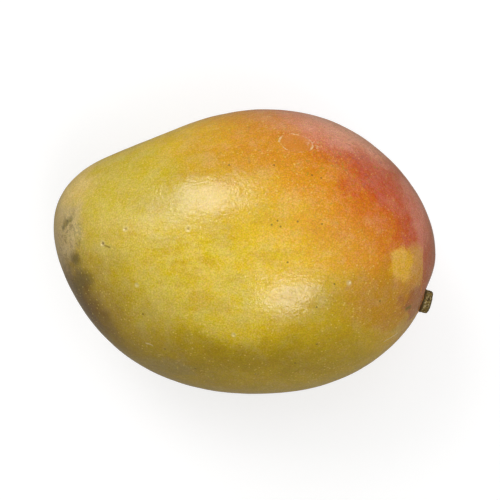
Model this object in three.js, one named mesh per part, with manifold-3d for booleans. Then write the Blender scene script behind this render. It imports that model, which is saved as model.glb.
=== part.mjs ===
import * as THREE from "three";
import { mergeVertices } from "three/addons/utils/BufferGeometryUtils.js";
import Module from "manifold-3d";

// A mango lying on one cheek. Millimetres, +Z up, +X towards the stem end, +Y towards the beak side.
// The origin is the middle of the small flat spot that it rests on.

const wasm = await Module();
wasm.setup();

// The egg that lies under every swelling and hollow
const HALF_LENGTH = 61.2;
const HALF_WIDTH = 46.7;
const HALF_THICKNESS = 41;
const EGG_TURN = -3; // degrees that its long axis turns from +X
const FULLNESS = 2.1; // 2 is a plain ellipsoid, and more makes the cheeks flatter
const CHEEK_TAPER = 0.05; // share by which the cheeks swell towards the stem end and thin to the beak

// The lower cheek is pressed flat by this much where it rests
const REST_DEPTH = 0.55;
const MIDDLE_HEIGHT = HALF_THICKNESS - REST_DEPTH;

// The middle of the fruit, seen from the middle of the flat spot
const MIDDLE_X = -4.5;
const MIDDLE_Y = -0.5;

// Swellings and hollows: where each is seen from the middle of the fruit (bearing from +X and
// elevation, in degrees), how far it reaches sideways and upwards (degrees), and its height (mm).
const BELLY_SHOULDER = { bearing: 62, elevation: 0, wide: 29, tall: 45, height: 1.8 };
const BEAK = { bearing: 162, elevation: 0, wide: 21, tall: 28, height: 8.4 };
const SINUS = { bearing: 144, elevation: 0, wide: 40, tall: 38, height: -4.7 };
const STALK_HOLLOW = { bearing: 347.5, elevation: 0, wide: 6.5, tall: 12, height: -1.4 };

// The skin is a little uneven: broad waves of this height
const WAVE_HEIGHT = 0.2;

// Triangles: the sphere that the skin starts from is split this many times along each edge
const SKIN_DETAIL = 17;

// The woody stub that the fruit was picked with
const STUB_BEARING = 344.3;
const STUB_LEAN = -16; // degrees from +X to its axis
const STUB_SEAT = 59.2; // from the middle of the fruit to the foot of the stub
const STUB_RADIUS = 3.75;
const STUB_LENGTH = 3.1;
const ROOT_RADIUS = 2.6;
const ROOT_LENGTH = 4;
const STUB_SIDES = 32;
const CLEARANCE = 0.3;

const radians = THREE.MathUtils.degToRad;

// Height of one swelling or hollow, in the direction given in radians
function form({ bearing, elevation, wide, tall, height }, azimuth, upward) {
  const sideways = 2 * (1 - Math.cos(azimuth - radians(bearing))) * Math.cos(upward) ** 2;
  const lift = upward - radians(elevation);
  return height * Math.exp(-sideways / radians(wide) ** 2 - lift ** 2 / radians(tall) ** 2);
}

// Broad waves of the skin, in the direction given as a unit vector
function waves({ x, y, z }) {
  const broad = Math.sin(5.1 * x + 2.3 * y + 0.7) * Math.cos(4.3 * z - 1.1 * x + 0.4);
  const cross = 0.6 * Math.sin(7.9 * y - 3.7 * z + 1.9);
  return WAVE_HEIGHT * (broad + cross);
}

// Distance from the middle of the fruit to its skin, in a direction given as a unit vector
function skinRadius(direction) {
  const azimuth = Math.atan2(direction.y, direction.x);
  const upward = Math.asin(THREE.MathUtils.clamp(direction.z, -1, 1));
  const turned = azimuth - radians(EGG_TURN);
  const plan = Math.cos(upward) * Math.hypot(Math.cos(turned) / HALF_LENGTH, Math.sin(turned) / HALF_WIDTH);
  const cheek = HALF_THICKNESS * (1 + CHEEK_TAPER * direction.x);
  const rise = Math.abs(Math.sin(upward)) / cheek;
  const egg = (plan ** FULLNESS + rise ** FULLNESS) ** (-1 / FULLNESS);
  return egg
    + form(BELLY_SHOULDER, azimuth, upward)
    + form(BEAK, azimuth, upward)
    + form(SINUS, azimuth, upward)
    + form(STALK_HOLLOW, azimuth, upward)
    + waves(direction);
}

// A closed sphere whose points are moved out to the skin
function skinGeometry() {
  const geometry = welded(new THREE.IcosahedronGeometry(1, SKIN_DETAIL));
  const points = geometry.getAttribute("position");
  const point = new THREE.Vector3();
  for (let i = 0; i < points.count; i += 1) {
    point.fromBufferAttribute(points, i).normalize();
    point.multiplyScalar(skinRadius(point));
    points.setXYZ(i, point.x, point.y, point.z + MIDDLE_HEIGHT);
  }
  return geometry;
}

// The outline of the stub, from the tip of its root to the middle of its cut end.
// The foot flares, the side is waisted like a barrel with two rims, and the cut end is dished.
function stubProfile(grow) {
  const outline = [
    [0, -ROOT_LENGTH],
    [ROOT_RADIUS * 0.8, -ROOT_LENGTH],
    [ROOT_RADIUS, -ROOT_LENGTH + 0.6],
    [ROOT_RADIUS, -0.35],
    [STUB_RADIUS * 0.9, -0.2],
    [STUB_RADIUS, 0.2],
    [STUB_RADIUS, 0.6],
    [STUB_RADIUS * 0.94, 1.1],
    [STUB_RADIUS * 0.95, 1.8],
    [STUB_RADIUS * 0.99, 2.3],
    [STUB_RADIUS * 0.96, 2.8],
    [STUB_RADIUS * 0.82, STUB_LENGTH],
    [STUB_RADIUS * 0.5, STUB_LENGTH - 0.2],
    [0, STUB_LENGTH - 0.3],
  ];
  return outline.map(([radius, height]) => {
    const low = height < STUB_LENGTH / 2 ? -grow : grow;
    return new THREE.Vector2(radius > 0 ? radius + grow : 0, height + low);
  });
}

// The stub along its own +Z, its foot at the origin
function stubGeometry(grow = 0) {
  const geometry = welded(new THREE.LatheGeometry(stubProfile(grow), STUB_SIDES));
  return geometry.rotateX(Math.PI / 2);
}

function placeStub(object) {
  const bearing = radians(STUB_BEARING);
  object.position.set(STUB_SEAT * Math.cos(bearing), STUB_SEAT * Math.sin(bearing), MIDDLE_HEIGHT);
  object.rotation.set(0, Math.PI / 2, radians(STUB_LEAN), "ZYX");
  object.updateMatrix();
  return object;
}

// One point wherever faces meet, so that the surface is closed
function welded(geometry) {
  geometry.deleteAttribute("normal");
  geometry.deleteAttribute("uv");
  return mergeVertices(geometry, 1e-4);
}

function solidOf(geometry) {
  return new wasm.Manifold(new wasm.Mesh({
    numProp: 3,
    vertProperties: new Float32Array(geometry.getAttribute("position").array),
    triVerts: new Uint32Array(geometry.getIndex().array),
  }));
}

function geometryOf(solid) {
  const mesh = solid.getMesh();
  const geometry = new THREE.BufferGeometry();
  geometry.setAttribute("position", new THREE.BufferAttribute(mesh.vertProperties, 3));
  geometry.setIndex(new THREE.BufferAttribute(mesh.triVerts, 1));
  geometry.computeVertexNormals();
  return geometry;
}

// The block under the resting plane, which presses the lower cheek flat
function floorBlock() {
  const side = 3 * HALF_LENGTH;
  const depth = 20;
  return new THREE.BoxGeometry(side, side, depth).translate(0, 0, -depth / 2);
}

// Skin and flesh: one piece, flat where it rests, with a pocket round the foot of the stub
function fruit() {
  const pocket = stubGeometry(CLEARANCE).applyMatrix4(placeStub(new THREE.Object3D()).matrix);
  const body = solidOf(skinGeometry())
    .subtract(solidOf(welded(floorBlock())))
    .subtract(solidOf(pocket));
  const skin = new THREE.MeshStandardMaterial({ color: 0xc79a3a, roughness: 0.5, metalness: 0 });
  const mesh = new THREE.Mesh(geometryOf(body), skin);
  mesh.name = "fruit";
  return mesh;
}

function stemStub() {
  const bark = new THREE.MeshStandardMaterial({ color: 0x5c4a22, roughness: 0.85, metalness: 0 });
  const mesh = new THREE.Mesh(stubGeometry(), bark);
  mesh.name = "stem_stub";
  return placeStub(mesh);
}

const mango = new THREE.Group();
mango.add(fruit(), stemStub());
mango.position.set(MIDDLE_X, MIDDLE_Y, 0);

export default mango;
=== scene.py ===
"""Looks of a mango lying on one cheek, seen from straight above.

Sizes are in millimetres, measured from the middle of the fruit, until MM turns them to metres.
"""

from math import cos, pi, radians, sin, tan

import bmesh
import bpy
import numpy as np
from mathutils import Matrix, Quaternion, Vector, noise


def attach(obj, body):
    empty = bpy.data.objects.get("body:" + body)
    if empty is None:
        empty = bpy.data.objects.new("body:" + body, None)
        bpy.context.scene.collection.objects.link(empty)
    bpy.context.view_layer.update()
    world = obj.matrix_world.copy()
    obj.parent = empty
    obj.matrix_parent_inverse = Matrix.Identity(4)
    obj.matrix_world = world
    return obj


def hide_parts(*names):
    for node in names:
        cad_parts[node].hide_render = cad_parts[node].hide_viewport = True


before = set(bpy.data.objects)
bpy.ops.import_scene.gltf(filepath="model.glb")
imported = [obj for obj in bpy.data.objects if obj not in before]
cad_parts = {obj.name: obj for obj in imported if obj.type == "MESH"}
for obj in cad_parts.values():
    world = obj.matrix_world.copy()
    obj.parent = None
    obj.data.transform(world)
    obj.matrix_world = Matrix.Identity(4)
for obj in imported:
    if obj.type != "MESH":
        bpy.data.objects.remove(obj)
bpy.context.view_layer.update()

MM = 0.001

# The fruit's shape, as the solid has it
HALF_LENGTH = 61.2
HALF_WIDTH = 46.7
HALF_THICKNESS = 41
EGG_TURN = -3
FULLNESS = 2.1
CHEEK_TAPER = 0.05
REST_DEPTH = 0.55
MIDDLE = Vector((-4.5, -0.5, HALF_THICKNESS - REST_DEPTH))
BELLY_SHOULDER = dict(bearing=62, wide=29, tall=45, height=1.8)
BEAK = dict(bearing=162, wide=21, tall=28, height=8.4)
SINUS = dict(bearing=144, wide=40, tall=38, height=-4.7)
STALK_HOLLOW = dict(bearing=347.5, wide=6.5, tall=12, height=-1.4)
WAVE_HEIGHT = 0.2

# The stub's place and size, as the solid has them
STUB_BEARING = radians(344.3)
STUB_LEAN = radians(-16)
STUB_SEAT = 59.2
STUB_RADIUS = 3.75
STUB_FOOT = STUB_SEAT * Vector((cos(STUB_BEARING), sin(STUB_BEARING), 0))
STUB_AXIS = Vector((cos(STUB_LEAN), sin(STUB_LEAN), 0))

# The camera looks straight down. VIEW_WIDTH is what it sees across at the height of the middle.
CAMERA_LENS = 100
CAMERA_SENSOR = 36
VIEW_WIDTH = 165
VIEW_CENTRE = (0.33, 0.66)
CAMERA_RISE = VIEW_WIDTH * CAMERA_LENS / CAMERA_SENSOR

# Squares along each edge of the cube that the skin starts from
SKIN_SQUARES = 104

# The skin round the stub, by how far from the stub's axis it lies
MOAT_REACH = 3.9
MOAT_DEPTH = 0.5
COLLAR_REACH = 4.7
COLLAR_HEIGHT = 0.22
CREASE_REACH = 6
CREASE_HEIGHT = 0.05


# Shape of the skin

def form(azimuth, upward, bearing, wide, tall, height):
    """Height of one swelling or hollow in the given directions."""
    sideways = 2 * (1 - np.cos(azimuth - radians(bearing))) * np.cos(upward) ** 2
    return height * np.exp(-sideways / radians(wide) ** 2 - upward ** 2 / radians(tall) ** 2)


def waves(x, y, z):
    """Broad unevenness of the skin."""
    broad = np.sin(5.1 * x + 2.3 * y + 0.7) * np.cos(4.3 * z - 1.1 * x + 0.4)
    cross = 0.6 * np.sin(7.9 * y - 3.7 * z + 1.9)
    return WAVE_HEIGHT * (broad + cross)


def skin_radius(directions):
    """Distance from the middle to the skin along unit vectors, one to a row."""
    x, y, z = np.moveaxis(np.asarray(directions, dtype=float), -1, 0)
    azimuth = np.arctan2(y, x)
    upward = np.arcsin(np.clip(z, -1, 1))
    turned = azimuth - radians(EGG_TURN)
    plan = np.cos(upward) * np.hypot(np.cos(turned) / HALF_LENGTH, np.sin(turned) / HALF_WIDTH)
    rise = np.abs(np.sin(upward)) / (HALF_THICKNESS * (1 + CHEEK_TAPER * x))
    egg = (plan ** FULLNESS + rise ** FULLNESS) ** (-1 / FULLNESS)
    swellings = sum(form(azimuth, upward, **f) for f in (BELLY_SHOULDER, BEAK, SINUS, STALK_HOLLOW))
    return egg + swellings + waves(x, y, z)


def seen_at(x, y):
    """The point of the skin that the camera sees through a point of the level plane in the middle."""
    eye = Vector((*VIEW_CENTRE, CAMERA_RISE))
    sight = (Vector((x, y, 0)) - eye).normalized()
    near = CAMERA_RISE - 1.3 * HALF_THICKNESS
    step = 0.1
    while near < 1.05 * CAMERA_RISE:
        point = eye + sight * near
        if point.length < skin_radius(point.normalized()):
            return point
        near += step
    raise ValueError("that place is off the fruit")


def skin_at(bearing, elevation):
    """The point of the skin at that bearing from +X and elevation, in degrees from the middle."""
    level = cos(radians(elevation))
    out = (level * cos(radians(bearing)), level * sin(radians(bearing)), sin(radians(elevation)))
    return Vector(out) * float(skin_radius(out))


# Marks, placed by where the camera sees them
BEAK_SCAR = seen_at(-60.2, 9.5)
OVAL_SCAR = seen_at(15.5, 36)
PITS = [seen_at(-48.3, 2.8), seen_at(-40.8, 7.6), seen_at(-20.1, 7.6)]
PIT_DEPTHS = [0.4, 0.22, 0.15]
PIT_RADIUS = 0.55
DENTS = [seen_at(-37, -10.9), seen_at(-5.1, -27.4), seen_at(33, -10.2)]
DENT_DEPTH = 0.15
DENT_RADIUS = 0.45
OVAL_TURN = radians(-14)  # from +X to its long axis
OVAL_RADII = (5.2, 3.9, 12)  # along it, across it and into the fruit

# Where the skin needs smaller squares, and how far round each place
FINE_PLACES = [(STUB_FOOT, 7.5), (BEAK_SCAR, 4), (OVAL_SCAR, 7)] + [(p, 1.8) for p in PITS + DENTS]


def noise_at(points, size, seed):
    """Smooth noise from -1 to 1 at rows of points, with bumps about size across."""
    shift = Vector((seed * 17.3, seed * 5.9, seed * 31.7))
    return np.array([noise.noise(Vector(p) / size + shift) for p in points])


def ring(distance, radius, width):
    """1 along a circle of that radius, falling off over the width to either side."""
    return np.exp(-((distance - radius) / width) ** 2)


def from_stub(points):
    """Distance of points from the stub's axis, and their bearing round it."""
    across = points - np.array(STUB_FOOT)
    along = across @ np.array(STUB_AXIS)
    across = across - along[:, None] * np.array(STUB_AXIS)
    side = np.array((-STUB_AXIS.y, STUB_AXIS.x, 0))
    return np.linalg.norm(across, axis=1), np.arctan2(across[:, 2], across @ side)


def stub_seat(points):
    """The moat under the stub's foot, the raised collar round it and the creases that run to it."""
    reach, bearing = from_stub(points)
    near_end = points[:, 0] > 0
    moat = -MOAT_DEPTH / (1 + np.exp((reach - MOAT_REACH) / 0.15))
    collar = COLLAR_HEIGHT * ring(reach, COLLAR_REACH, 0.45) * (1 + 0.4 * np.sin(5 * bearing + 1))
    folds = np.sin(19 * bearing + 3 * np.sin(2 * bearing))
    creases = CREASE_HEIGHT * folds * ring(reach, CREASE_REACH, 1.8)
    return np.where(near_end, moat + collar + creases, 0)


def pit(points, centre, radius, depth):
    """A hollow with a low lip."""
    distance = np.linalg.norm(points - np.array(centre), axis=1)
    return 0.3 * depth * ring(distance, 1.5 * radius, 0.5 * radius) - depth * ring(distance, 0, radius)


def beak_scar(points):
    """The small rough nub where the flower fell off."""
    distance = np.linalg.norm(points - np.array(BEAK_SCAR), axis=1)
    rough = 1 + 0.6 * noise_at(points, 0.5, 5) * (distance < 4)
    return 0.3 * ring(distance, 1.5, 0.6) * rough - 0.35 * ring(distance, 0, 0.9)


def oval_axes():
    """The oval scar's long axis, its short one and the way out of the fruit there."""
    out = OVAL_SCAR.normalized()
    along = out.cross(Vector((cos(OVAL_TURN), sin(OVAL_TURN), 0))).cross(out).normalized()
    return along, out.cross(along), out


def across_oval(points):
    """How far out in the oval scar points lie: 1 on its edge."""
    offset = points - np.array(OVAL_SCAR)
    shares = [offset @ np.array(axis) / radius for axis, radius in zip(oval_axes(), OVAL_RADII)]
    return np.linalg.norm(shares, axis=0)


def relief(points):
    """Everything finer than the solid's shape."""
    height = 0.1 * noise_at(points, 9, 1) + 0.045 * noise_at(points, 3.6, 2)
    height += stub_seat(points) + beak_scar(points)
    for centre, depth in zip(PITS, PIT_DEPTHS):
        height += pit(points, centre, PIT_RADIUS, depth)
    for centre in DENTS:
        height += pit(points, centre, DENT_RADIUS, DENT_DEPTH)
    oval = across_oval(points)
    height += 0.1 * ring(oval, 1, 0.13) - 0.06 * (oval < 1)
    return height


def cube_sphere():
    """A sphere of even squares, split finer round the stub and the marks. Points are unit vectors."""
    mesh = bmesh.new()
    bmesh.ops.create_cube(mesh, size=2)
    bmesh.ops.subdivide_edges(mesh, edges=mesh.edges[:], cuts=SKIN_SQUARES - 1, use_grid_fill=True)
    for vert in mesh.verts:
        vert.co = Vector(tan(c * pi / 4) for c in vert.co).normalized()
    for _ in range(2):
        edges = set()
        for place, reach in FINE_PLACES:
            towards, near = place.normalized(), cos(reach / place.length)
            edges.update(e for v in mesh.verts if v.co.dot(towards) > near for e in v.link_edges)
        bmesh.ops.subdivide_edges(mesh, edges=list(edges), cuts=1, use_grid_fill=True)
        for vert in mesh.verts:
            vert.co.normalize()
    return mesh


def make_fruit():
    """The skin with all its relief, flat where it rests."""
    mesh = cube_sphere()
    directions = np.array([v.co[:] for v in mesh.verts])
    skin = directions * skin_radius(directions)[:, None]
    skin += directions * relief(skin)[:, None]
    skin += np.array(MIDDLE)
    skin[:, 2] = np.maximum(skin[:, 2], 0)
    for vert, place in zip(mesh.verts, skin):
        vert.co = place * MM
    return piece("mango_skin", mesh)


def piece(name, mesh):
    """An object of the mesh, smooth shaded, at the origin."""
    data = bpy.data.meshes.new(name)
    mesh.to_mesh(data)
    mesh.free()
    data.shade_smooth()
    made = bpy.data.objects.new(name, data)
    bpy.context.collection.objects.link(made)
    return made


# The woody stub

# Its outline: height above the foot, and share of the radius. The side is waisted and the end dished.
STUB_PROFILE = [
    (-1.5, 0.62), (-0.4, 0.82), (-0.15, 0.98), (0.25, 1.02), (0.6, 1.01), (0.9, 0.98), (1.4, 0.99),
    (1.9, 1.0), (2.35, 0.97), (2.7, 0.88), (2.95, 0.72), (3.02, 0.5), (2.92, 0.2), (2.88, 0.03),
]
STUB_ROWS = 64
STUB_COLUMNS = 110


def stub_point(row, column):
    """A point of the stub in its own frame: up its axis from the foot, outwards and round."""
    share = row / (STUB_ROWS - 1) * (len(STUB_PROFILE) - 1)
    before = min(int(share), len(STUB_PROFILE) - 2)
    part = share - before
    part = part * part * (3 - 2 * part) * 0.5 + part * 0.5
    (low, inner), (high, outer) = STUB_PROFILE[before], STUB_PROFILE[before + 1]
    rise = low + (high - low) * part
    radius = STUB_RADIUS * (inner + (outer - inner) * part)
    turn = 2 * pi * column / STUB_COLUMNS
    round_it = Vector((cos(turn), sin(turn), 0))
    grain = noise.noise(Vector((9 * cos(turn), 9 * sin(turn), 0.5 * rise)))
    flakes = noise.noise(Vector((*(2.4 * radius * round_it)[:2], 2.6 * rise)) + Vector((7, 3, 1)))
    lobes = 0.14 * sin(3 * turn + 0.8) + 0.08 * sin(5 * turn)
    radius += (0.12 * grain + 0.16 * flakes + lobes) * min(1, radius / STUB_RADIUS)
    rise += 0.14 * flakes if rise > 2 else 0.03 * flakes
    return radius * round_it + Vector((0, 0, rise))


def make_stub():
    """A closed stub along its axis, with its root in the fruit."""
    turn = STUB_AXIS.to_track_quat("Z", "Y")
    mesh = bmesh.new()
    rows = []
    for row in range(STUB_ROWS):
        places = [turn @ stub_point(row, column) + STUB_FOOT + MIDDLE for column in range(STUB_COLUMNS)]
        rows.append([mesh.verts.new(place * MM) for place in places])
    for lower, upper in zip(rows, rows[1:]):
        for i in range(STUB_COLUMNS):
            j = (i + 1) % STUB_COLUMNS
            mesh.faces.new((lower[i], lower[j], upper[j], upper[i]))
    mesh.faces.new(rows[0][::-1])
    mesh.faces.new(rows[-1])
    return piece("mango_stub", mesh)


# Materials

def colour(code):
    """The linear colour of a web code such as c8b441, with full alpha."""
    parts = [int(code[i:i + 2], 16) / 255 for i in (0, 2, 4)]
    return (*(c / 12.92 if c <= 0.04045 else ((c + 0.055) / 1.055) ** 2.4 for c in parts), 1)


class Paint:
    """Builds one material. A value is a number, a tuple or another node's output."""

    def __init__(self, name):
        self.material = bpy.data.materials.new(name)
        self.material.use_nodes = True
        self.tree = self.material.node_tree
        self.shader = self.tree.nodes["Principled BSDF"]
        self.colour = None
        metres = self.node("ShaderNodeTexCoord").outputs["Object"]
        self.place = self.vector("SUBTRACT", self.vector("SCALE", metres, scale=1 / MM), MIDDLE[:])

    def node(self, kind, **settings):
        made = self.tree.nodes.new(kind)
        for key, value in settings.items():
            setattr(made, key, value)
        return made

    def feed(self, socket, value):
        if isinstance(value, bpy.types.NodeSocket):
            self.tree.links.new(value, socket)
        else:
            socket.default_value = value

    def math(self, operation, *values, clamp=False):
        made = self.node("ShaderNodeMath", operation=operation, use_clamp=clamp)
        for socket, value in zip(made.inputs, values):
            self.feed(socket, value)
        return made.outputs[0]

    def vector(self, operation, *values, scale=None):
        made = self.node("ShaderNodeVectorMath", operation=operation)
        for socket, value in zip(made.inputs, values):
            self.feed(socket, value)
        if scale is not None:
            self.feed(made.inputs["Scale"], scale)
        measured = operation in ("LENGTH", "DISTANCE", "DOT_PRODUCT")
        return made.outputs["Value" if measured else "Vector"]

    def spread(self, value, start, end, low=0.0, high=1.0):
        """Turns start to end into low to high with soft ends."""
        made = self.node("ShaderNodeMapRange", interpolation_type="SMOOTHSTEP")
        for socket, part in zip(made.inputs, (value, start, end, low, high)):
            self.feed(socket, part)
        return made.outputs["Result"]

    def noise(self, size, detail=2.0, rough=0.5, at=None, shift=0.0):
        """Noise from 0 to 1 with bumps about size millimetres across."""
        made = self.node("ShaderNodeTexNoise")
        place = self.vector("ADD", at or self.place, (shift, 0.7 * shift, -1.3 * shift))
        self.feed(made.inputs["Vector"], place)
        for key, part in (("Scale", 1 / size), ("Detail", detail), ("Roughness", rough)):
            made.inputs[key].default_value = part
        return made.outputs["Fac"]

    def wander(self, size, reach, shift=0.0):
        """The place, pushed about by up to half of reach, so that edges aren't clean."""
        made = self.node("ShaderNodeTexNoise")
        self.feed(made.inputs["Vector"], self.vector("ADD", self.place, (shift, shift, shift)))
        made.inputs["Scale"].default_value = 1 / size
        made.inputs["Detail"].default_value = 4
        push = self.vector("SUBTRACT", made.outputs["Color"], (0.5, 0.5, 0.5))
        return self.vector("ADD", self.place, self.vector("SCALE", push, scale=reach))

    def dots(self, spacing, radius, shift=0.0, spared=0.0):
        """Scattered round dots: 1 inside. The share spared has none."""
        made = self.node("ShaderNodeTexVoronoi")
        self.feed(made.inputs["Vector"], self.vector("ADD", self.place, (shift, shift, shift)))
        made.inputs["Scale"].default_value = 1 / spacing
        chance = self.vector("DOT_PRODUCT", made.outputs["Color"], (1.0, 0, 0))
        kept = self.spread(chance, spared - 0.02, spared + 0.02) if spared else 1.0
        edge = radius / spacing
        inside = self.spread(made.outputs["Distance"], 0.5 * edge, edge, 1.0, 0.0)
        return self.math("MULTIPLY", inside, kept)

    def blob(self, centre, radii, soft=0.5, at=None):
        """1 in the middle of an egg of those half sizes, 0 outside, over a soft edge."""
        offset = self.vector("SUBTRACT", at or self.place, tuple(centre))
        share = self.vector("LENGTH", self.vector("DIVIDE", offset, tuple(radii)))
        return self.spread(share, 1 - soft, 1 + soft, 1.0, 0.0)

    def stroke(self, start, end, width, at=None):
        """1 along the line between two places, falling to 0 at that width to either side."""
        run = Vector(end) - Vector(start)
        offset = self.vector("SUBTRACT", at or self.place, tuple(start))
        ahead = self.vector("DOT_PRODUCT", offset, tuple(run / run.length_squared))
        part = self.math("MULTIPLY", ahead, 1.0, clamp=True)
        nearest = self.vector("SCALE", tuple(run), scale=part)
        return self.spread(self.vector("DISTANCE", offset, nearest), 0.0, width, 1.0, 0.0)

    def nearest(self, places):
        """Distance to the nearest of the places."""
        reach = [self.vector("DISTANCE", self.place, tuple(p)) for p in places]
        least = reach[0]
        for value in reach[1:]:
            least = self.math("MINIMUM", least, value)
        return least

    def vary(self, value, hue, saturation, brightness):
        """Shifts the colour by up to half of each amount as the value goes from 0 to 1."""
        made = self.node("ShaderNodeHueSaturation")
        reaches = (("Hue", 0.5, hue), ("Saturation", 1, saturation), ("Value", 1, brightness))
        for key, middle, reach in reaches:
            self.feed(made.inputs[key], self.math("MULTIPLY_ADD", value, reach, middle - reach / 2))
        self.feed(made.inputs["Color"], self.colour)
        self.colour = made.outputs["Color"]

    def cover(self, code, share, strength=1.0):
        """Paints a colour over what is there, where share is 1."""
        made = self.node("ShaderNodeMix", data_type="RGBA")
        self.feed(made.inputs[0], self.math("MULTIPLY", share, strength, clamp=True))
        self.feed(made.inputs[6], self.colour)
        self.feed(made.inputs[7], colour(code))
        self.colour = made.outputs[2]

    def ramp(self, value, stops):
        """The colour at that value along a row of stops, each a place from 0 to 1 and a code."""
        made = self.node("ShaderNodeValToRGB")
        points = made.color_ramp.elements
        points[0].position, points[1].position = stops[0][0], stops[-1][0]
        points[0].color, points[1].color = colour(stops[0][1]), colour(stops[-1][1])
        for place, code in stops[1:-1]:
            points.new(place).color = colour(code)
        self.feed(made.inputs["Fac"], value)
        return made.outputs["Color"]

    def bump(self, height, deep):
        """Adds relief that is deep millimetres from 0 to 1 of the height."""
        made = self.node("ShaderNodeBump")
        made.inputs["Distance"].default_value = deep * MM
        self.feed(made.inputs["Height"], height)
        was = self.shader.inputs["Normal"].links
        if was:
            self.feed(made.inputs["Normal"], was[0].from_socket)
        self.feed(self.shader.inputs["Normal"], made.outputs["Normal"])

    def finish(self, roughness):
        """Hands the colour and roughness to the shader."""
        self.feed(self.shader.inputs["Base Color"], self.colour)
        self.feed(self.shader.inputs["Roughness"], roughness)
        return self.material


# The ground colour, by how far towards the blush side of the stem end the skin lies
BLUSH_TOWARDS = (0.77, 0.64, 0.0)
BLUSH_LENGTH = 140
BLUSH = [
    (-60, "dbc352"), (-30, "e2c54a"), (-8, "e9c736"), (8, "efc124"), (17, "ecb118"), (24, "e79d16"),
    (33, "e08a12"), (38, "d86c20"), (42, "cf5a36"), (52, "d06644"), (66, "ce7456"),
]

# Broad zones of the skin: colour, where the camera sees the middle, half sizes, softness of the edge
# and strength. The zones along the rim are partly painted sheen, and those on the lower flank partly
# painted shade.
ZONES = [
    ("d0ba42", (-38, 22), (25, 12, 26), 0.6, 0.6),  # olive shoulder of the beak
    ("dc9230", (-6, 32), (16, 7, 20), 0.8, 0.6),  # first blush along the beak side
    ("cdaa10", (0, -46), (75, 20, 40), 0.5, 0.85),  # mustard lower flank, darkened partly as painted shade
    ("c0a01e", (34, -20), (20, 10, 26), 0.6, 0.7),  # olive skin under the lower highlight
    ("a38402", (0, -36), (45, 7, 16), 0.85, 0.75),  # darker band along the lower flank, partly the skin's olive and partly painted shade
    ("f6b090", (33, 40.5), (27, 11.5, 22), 0.5, 0.8),  # salmon top of the shoulder, paled along the rim as painted sheen
    ("cc902f", (46, -15), (13, 10, 22), 0.5, 0.8),  # light brown below the blush
    ("b0683a", (54.5, -17), (6, 5, 14), 0.25, 0.8),  # brown beside the stem
    ("d6bc88", (-62, 7), (6, 13, 24), 0.5, 0.8),  # grey-tan end of the beak, partly the skin's colour and partly painted sheen at the rim
    ("f2cf78", (-57, 24), (6, 9, 16), 0.5, 0.7),  # tan rim above it, partly painted sheen along the edge
    ("ea9880", (56.2, 16), (5.5, 20, 14), 0.5, 0.6),  # pink along the stem end, partly bloom and partly painted sheen on the rim
    ("beac64", (51.5, -25), (6, 3, 10), 0.35, 0.35),  # tan rim below the stem, partly painted sheen on the rim
    ("f2d868", (-49, 9), (14, 10, 20), 0.6, 0.25),  # paler skin behind the beak
    ("c8a434", (-14, 18), (18, 10, 20), 0.7, 0.3),  # deeper skin under the upper highlight
    ("e0801a", (40, 11), (8, 6, 14), 0.6, 0.55),  # orange edge of the blush
    ("a8945c", (-25, -38), (11, 4, 8), 0.5, 0.5),  # grey-tan skin above the brown rim
]
# Bruises on the beak: middle and half sizes
BRUISES = [
    ((-57.4, -2.3), (1.9, 2.1, 4)),
    ((-54.2, -8.8), (3.4, 2.6, 6)),
    ((-56.4, -11.6), (2.2, 3.4, 6)),
]

# Bearings and elevations of the brown rim below the beak, which is partly the skin's brown and partly
# painted shade on the dim lower-left side, and its layers: colour, width and strength
BROWN_RIM_AND_SHADE = [(186, 8), (203, 12), (220, 10), (238, 4), (254, -6)]
BROWN_AND_SHADE_LAYERS = [("b3932e", 42, 0.6), ("a5801a", 24, 0.45), ("755204", 15, 0.92)]

# The two lobes of a patch that a leaf kept in the shade, and a place on its edge towards the stem
SHADED_LOBES = [("dca048", (54.8, -4.6), (4.4, 6.8, 10)), ("f2bc48", (50.4, -4.2), (4.2, 5.2, 10))]
SHADED_EDGE = seen_at(57.4, -5)

# Small dark specks, by where the camera sees them
SPECKS = [
    (9.4, 10.3), (7.5, 9.0), (10.4, 8.4), (16.1, 10.1), (12.7, -3.4), (24.1, 9.2), (-6.6, 28.7),
    (8.3, 28.7), (20.8, 25.4), (23.8, 24.4), (-35, -20.5), (-27.7, -32), (-17.7, -38.5),
    (2.1, -40.2), (15.2, -36.6), (22.3, -18.2), (43.2, -16.2), (28.2, -10.6), (22.4, -30.4),
]


def ground_colours(skin):
    """Green-yellow at the beak, gold in the middle and red on the shoulder, with flecked edges."""
    along = skin.vector("DOT_PRODUCT", skin.wander(16, 9), BLUSH_TOWARDS)
    for size, reach, shift in ((7, 3.0, 17), (0.9, 2.8, 19)):
        flecks = skin.noise(size, detail=5, rough=0.85, shift=shift)
        along = skin.math("ADD", along, skin.spread(flecks, 0.3, 0.7, -reach, reach))
    share = skin.math("MULTIPLY_ADD", along, 1 / BLUSH_LENGTH, 0.5)
    skin.colour = skin.ramp(share, [(0.5 + t / BLUSH_LENGTH, code) for t, code in BLUSH])


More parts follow.
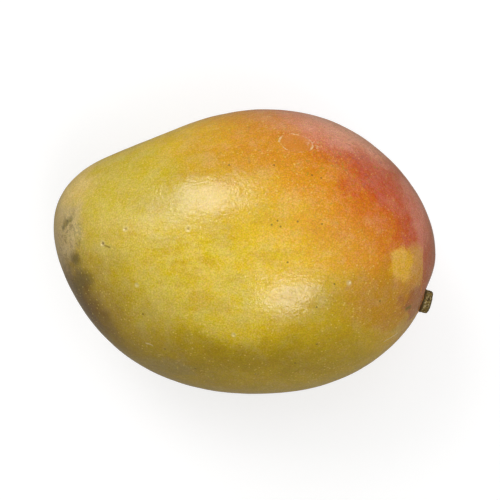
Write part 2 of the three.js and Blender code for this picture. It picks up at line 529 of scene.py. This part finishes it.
def zones(skin):
    """The brown rim below the beak, partly painted shade; the broad zones with ragged edges, of which
    those along the rim are partly painted sheen and those on the lower flank partly painted shade; and
    the worn, bruised beak.
    """
    ragged = skin.wander(8, 15, shift=80)
    rim = [skin_at(*place) for place in BROWN_RIM_AND_SHADE]
    # Brown rim strokes: partly the skin's brown, partly painted shade on the dim lower-left side
    for code, width, strength in BROWN_AND_SHADE_LAYERS:
        for start, end in zip(rim, rim[1:]):
            skin.cover(code, skin.stroke(start, end, width, at=ragged), strength)
    for code, place, half_sizes, soft, strength in ZONES:
        skin.cover(code, skin.blob(seen_at(*place), half_sizes, soft, at=ragged), strength)
    beak_end = skin.blob(seen_at(-59, 0), (5, 13, 14), 0.4, at=skin.wander(3, 4, shift=82))
    scuffs = skin.spread(skin.noise(2.4, detail=5, rough=0.75, shift=83), 0.44, 0.6)
    skin.cover("7f6c3c", skin.math("MULTIPLY", beak_end, scuffs), 0.55)
    frayed = skin.wander(1.6, 2.4, shift=85)
    for place, half_sizes in BRUISES:
        skin.cover("746020", skin.blob(seen_at(*place), half_sizes, 0.6, at=frayed), 0.7)


def shaded_patch(skin):
    """Yellow skin in the blush with a sharp edge towards the stem, and the maroon skin beyond it."""
    split = skin.node("ShaderNodeSeparateXYZ")
    skin.feed(split.inputs[0], skin.wander(3, 0.6, shift=90))
    beyond = skin.spread(split.outputs["X"], SHADED_EDGE.x - 0.2, SHADED_EDGE.x + 0.2)
    near = skin.math("SUBTRACT", 1.0, beyond)
    ragged = skin.wander(2.6, 5.5, shift=95)
    for code, place, half_sizes in SHADED_LOBES:
        lobe = skin.blob(seen_at(*place), half_sizes, 0.35, at=ragged)
        skin.cover(code, skin.math("MULTIPLY", lobe, near), 0.9)
    maroon = skin.blob((58, -8, 8), (14, 15, 22), 0.5, at=skin.wander(6, 8, shift=97))
    skin.cover("b9603a", skin.math("MULTIPLY", beyond, maroon), 0.75)


def patchwork(skin):
    """Soft patches of deeper ochre and of pale green away from the blush."""
    ragged = skin.wander(7, 9, shift=40)
    plain = skin.blob((-30, -14, 0), (62, 52, 60), 0.35, at=ragged)
    drawn = skin.vector("MULTIPLY", skin.place, (0.5, 1.0, 1.0))
    ochre = skin.spread(skin.noise(7, detail=5, rough=0.6, at=drawn, shift=11), 0.5, 0.6)
    skin.cover("cc9f0c", skin.math("MULTIPLY", plain, ochre), 0.42)
    green = skin.spread(skin.noise(6, detail=5, rough=0.6, at=drawn, shift=71), 0.5, 0.6)
    skin.cover("d8c75a", skin.math("MULTIPLY", plain, green), 0.32)


def grain(skin):
    """The fine uneven tone of the whole skin."""
    skin.vary(skin.spread(skin.noise(6, detail=6, rough=0.8, shift=23), 0.3, 0.7), 0.0, 0.14, -0.06)
    skin.vary(skin.spread(skin.noise(3, detail=5, rough=0.9, shift=29), 0.3, 0.7), 0.012, 0.0, 0.0)
    skin.vary(skin.spread(skin.noise(0.45, detail=1, shift=33), 0.25, 0.75), 0.0, -0.06, 0.28)
    skin.vary(skin.spread(skin.noise(0.5, detail=1, shift=37), 0.25, 0.75), 0.016, 0.05, 0.0)
    blushed = skin.blob((22, 26, 0), (36, 28, 60), 0.5)
    olive = skin.spread(skin.noise(1.2, detail=4, rough=0.75, shift=45), 0.56, 0.66)
    skin.cover("a8902c", skin.math("MULTIPLY", blushed, olive), 0.6)
    bloom = skin.blob(seen_at(39, 30), (11, 9, 16), 0.6)
    maroon = skin.spread(skin.noise(1.6, detail=4, rough=0.6, shift=47), 0.54, 0.66)
    skin.cover("a85450", skin.math("MULTIPLY", bloom, maroon), 0.5)


def lenticels(skin):
    """Small pale dots, which also stand a little proud."""
    small = skin.dots(1.3, 0.33, shift=3, spared=0.35)
    large = skin.dots(2.6, 0.36, shift=9, spared=0.6)
    thick = skin.spread(skin.noise(12, shift=31), 0.35, 0.6, 0.35, 1.0)
    both = skin.math("MAXIMUM", small, large)
    red = skin.blob((44, 22, 0), (26, 30, 60), 0.5)
    pale = skin.math("MULTIPLY", thick, skin.math("MULTIPLY_ADD", red, -0.45, 1.0))
    skin.cover("f8dc70", skin.math("MULTIPLY", both, pale), 0.6)
    return both


def oval_outline(skin):
    """The pale broken line round the oval scar, the deeper skin in it and crumbs at its end."""
    offset = skin.vector("SUBTRACT", skin.wander(1.5, 0.9, shift=61), OVAL_SCAR[:])
    sides = skin.node("ShaderNodeCombineXYZ")
    for socket, axis, radius in zip(sides.inputs, oval_axes(), OVAL_RADII):
        skin.feed(socket, skin.vector("DOT_PRODUCT", offset, (axis / radius)[:]))
    far = skin.vector("LENGTH", sides.outputs[0])
    skin.cover("dd8530", skin.spread(far, 0.8, 1.0, 1.0, 0.0), 0.45)
    line = skin.math("MULTIPLY", skin.spread(far, 0.9, 1.0), skin.spread(far, 1.0, 1.08, 1.0, 0.0))
    broken = skin.spread(skin.noise(2.2, detail=4, rough=0.7, shift=67), 0.47, 0.58)
    skin.cover("f6d9a4", skin.math("MULTIPLY", line, broken), 0.85)
    crumbs = skin.blob(seen_at(21.3, 35.3), (2.3, 2.6, 4), 0.4)
    flakes = skin.spread(skin.noise(0.7, detail=2, shift=69), 0.55, 0.62)
    skin.cover("f2cfa4", skin.math("MULTIPLY", crumbs, flakes), 0.45)


def marks(skin):
    """Specks, pits with partly painted shade in their hollows, scratches and the scars of the flower
    and the stem.
    """
    specks = skin.nearest(seen_at(*place) for place in SPECKS)
    skin.cover("6b5616", skin.spread(specks, 0.15, 0.45, 1.0, 0.0), 0.75)
    pits = skin.nearest(PITS)
    skin.cover("f4e2a4", skin.spread(pits, 0.7, 1.4, 1.0, 0.0), 0.35)
    # Dark cores of the pits: partly the scars' brown, partly painted shade in the hollows, darkest in
    # the deep first pit
    skin.cover("9c6c30", skin.spread(pits, 0.2, 0.55, 1.0, 0.0), 0.5)
    skin.cover("5c4410", skin.spread(skin.nearest(PITS[:1]), 0.2, 0.6, 1.0, 0.0), 0.7)
    skin.cover("efe0a8", skin.spread(skin.nearest(DENTS), 0.3, 1.2, 1.0, 0.0), 0.45)
    skin.cover("7a5a1c", skin.stroke(seen_at(-47.6, 2.2), seen_at(-45.9, 1.5), 0.5), 0.75)
    skin.cover("a06a2a", skin.stroke(seen_at(0, 41.2), seen_at(0, 29.5), 0.6), 0.4)
    worn = skin.wander(1.2, 1.0, shift=73)
    skin.cover("efe0a8", skin.stroke(seen_at(-33.9, -30), seen_at(-32, -30.7), 0.5, at=worn), 0.6)
    skin.cover("f2e2b0", skin.stroke(seen_at(44.6, -29.5), seen_at(48.9, -26.9), 0.45, at=worn), 0.7)
    skin.cover("605a1c", skin.stroke(seen_at(-61.3, 7.9), seen_at(-58.8, 10.8), 1.6, at=worn), 0.65)
    skin.cover("6e6a10", skin.stroke(seen_at(51.9, -18.8), seen_at(53.2, -18.0), 1.1, at=worn), 0.8)


def skin_material():
    """Waxy skin: colours from the ground up, then its fine relief and uneven gloss."""
    skin = Paint("mango_skin")
    ground_colours(skin)
    patchwork(skin)
    zones(skin)
    shaded_patch(skin)
    grain(skin)
    raised = lenticels(skin)
    oval_outline(skin)
    marks(skin)
    skin.bump(skin.noise(4.5, detail=2, shift=51), 0.08)
    skin.bump(skin.noise(1.3, detail=3, rough=0.6, shift=57), 0.1)
    drawn = skin.vector("MULTIPLY", skin.place, (0.3, 1.0, 1.0))
    skin.bump(skin.noise(0.9, detail=2, at=drawn, shift=59), 0.05)
    wrinkled = skin.blob(seen_at(4, 18), (9, 7, 9), 0.6)
    skin.bump(skin.math("MULTIPLY", wrinkled, skin.noise(1.1, detail=3, shift=65)), 0.16)
    skin.bump(raised, 0.02)
    rough = skin.spread(skin.noise(2.2, detail=3, shift=63), 0.3, 0.7, 0.16, 0.27)
    skin.shader.inputs["Specular IOR Level"].default_value = 0.95
    return skin.finish(rough)


def stub_material():
    """Dry bark, dark at both rims with paler flakes on the side."""
    bark = Paint("mango_stub_bark")
    bark.colour = colour("5a4820")
    along = bark.vector("DOT_PRODUCT", bark.vector("SUBTRACT", bark.place, STUB_FOOT[:]), STUB_AXIS[:])
    middle = bark.math("MULTIPLY", bark.spread(along, 0.2, 0.8), bark.spread(along, 2.2, 2.8, 1.0, 0.0))
    patches = bark.spread(bark.noise(0.9, detail=3, rough=0.6), 0.42, 0.6)
    bark.cover("9c8644", bark.math("MULTIPLY", middle, patches), 0.9)
    flakes = bark.spread(bark.noise(0.6, detail=2, shift=5), 0.58, 0.68)
    bark.cover("d2c294", bark.math("MULTIPLY", middle, flakes), 0.85)
    bark.bump(bark.noise(0.5, detail=4, rough=0.65), 0.15)
    return bark.finish(0.75)


# Stage

FLOOR_REACH = 6  # metres
FLOOR_DROP = 0.02  # so that the fruit's flat spot and the floor don't share a plane
LIGHT_DISTANCE = 1.6  # metres


def make_camera():
    data = bpy.data.cameras.new("camera")
    data.lens = CAMERA_LENS
    data.sensor_width = CAMERA_SENSOR
    made = bpy.data.objects.new("camera", data)
    made.location = (MIDDLE + Vector((*VIEW_CENTRE, CAMERA_RISE))) * MM
    bpy.context.collection.objects.link(made)
    bpy.context.scene.camera = made


def make_floor():
    """Plain white paper, which catches the shadow but throws no colour on the fruit."""
    mesh = bmesh.new()
    bmesh.ops.create_grid(mesh, x_segments=1, y_segments=1, size=FLOOR_REACH)
    made = piece("floor", mesh)
    made.location.z = -FLOOR_DROP * MM
    paper = bpy.data.materials.new("floor_paper")
    paper.use_nodes = True
    shader = paper.node_tree.nodes["Principled BSDF"]
    shader.inputs["Base Color"].default_value = (0.5, 0.5, 0.5, 1)
    shader.inputs["Emission Color"].default_value = (1, 1, 1, 1)
    shader.inputs["Emission Strength"].default_value = 0.6
    shader.inputs["Roughness"].default_value = 0.8
    shader.inputs["Specular IOR Level"].default_value = 0.2
    made.data.materials.append(paper)
    made.visible_diffuse = False
    made.visible_glossy = False


def softbox(name, towards, size, watts, turn=0):
    """A rectangular light in metres that faces the fruit, turned in its own plane by those degrees."""
    data = bpy.data.lights.new(name, "AREA")
    data.shape = "RECTANGLE"
    data.size, data.size_y = size
    data.energy = watts
    made = bpy.data.objects.new(name, data)
    towards = Vector(towards).normalized()
    made.location = MIDDLE * MM + towards * LIGHT_DISTANCE
    facing = towards.to_track_quat("Z", "Y") @ Quaternion((0, 0, 1), radians(turn))
    made.rotation_euler = facing.to_euler()
    made.visible_camera = False
    bpy.context.collection.objects.link(made)
    return made


def make_lights():
    """Three softboxes that the skin mirrors, and two broad ones that only light it softly."""
    softbox("key", (-0.37, 0.6, 0.71), (0.66, 0.94), 6.9, turn=-30)
    softbox("key_side", (-0.66, 0.27, 0.71), (0.5, 0.55), 1.1, turn=-30)
    softbox("fill", (0.18, -0.45, 0.87), (0.58, 0.58), 4.2, turn=45)
    overhead = softbox("overhead", (0.42, -0.08, 0.9), (2.2, 2.2), 15.3)
    side = softbox("side", (-0.24, 0.69, 0.68), (2.2, 2.2), 11.5)
    for broad in (overhead, side):
        broad.visible_glossy = False


def make_surroundings():
    """Dim above and paler below, as over a pale floor, but plain white where the camera sees it."""
    world = bpy.data.worlds.new("surroundings")
    bpy.context.scene.world = world
    world.use_nodes = True
    tree = world.node_tree
    background = tree.nodes["Background"]
    towards = tree.nodes.new("ShaderNodeTexCoord")
    split = tree.nodes.new("ShaderNodeSeparateXYZ")
    tree.links.new(towards.outputs["Generated"], split.inputs[0])
    around = tree.nodes.new("ShaderNodeValToRGB")
    below, above = around.color_ramp.elements
    below.position, below.color = 0.0, (0.29, 0.26, 0.21, 1)
    above.position, above.color = 0.12, (0.09, 0.09, 0.09, 1)
    tree.links.new(split.outputs["Z"], around.inputs["Fac"])
    sight = tree.nodes.new("ShaderNodeLightPath")
    seen = tree.nodes.new("ShaderNodeMix")
    seen.data_type = "RGBA"
    tree.links.new(sight.outputs["Is Camera Ray"], seen.inputs["Factor"])
    tree.links.new(around.outputs["Color"], seen.inputs[6])
    seen.inputs[7].default_value = (1, 1, 1, 1)
    tree.links.new(seen.outputs[2], background.inputs["Color"])
    background.inputs["Strength"].default_value = 1


make_camera()
make_floor()
make_lights()
make_surroundings()
bpy.context.scene.view_settings.view_transform = "Standard"

fruit = make_fruit()
fruit.data.materials.append(skin_material())
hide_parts("fruit")
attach(fruit, "root")

stub = make_stub()
stub.data.materials.append(stub_material())
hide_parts("stem_stub")
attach(stub, "root")
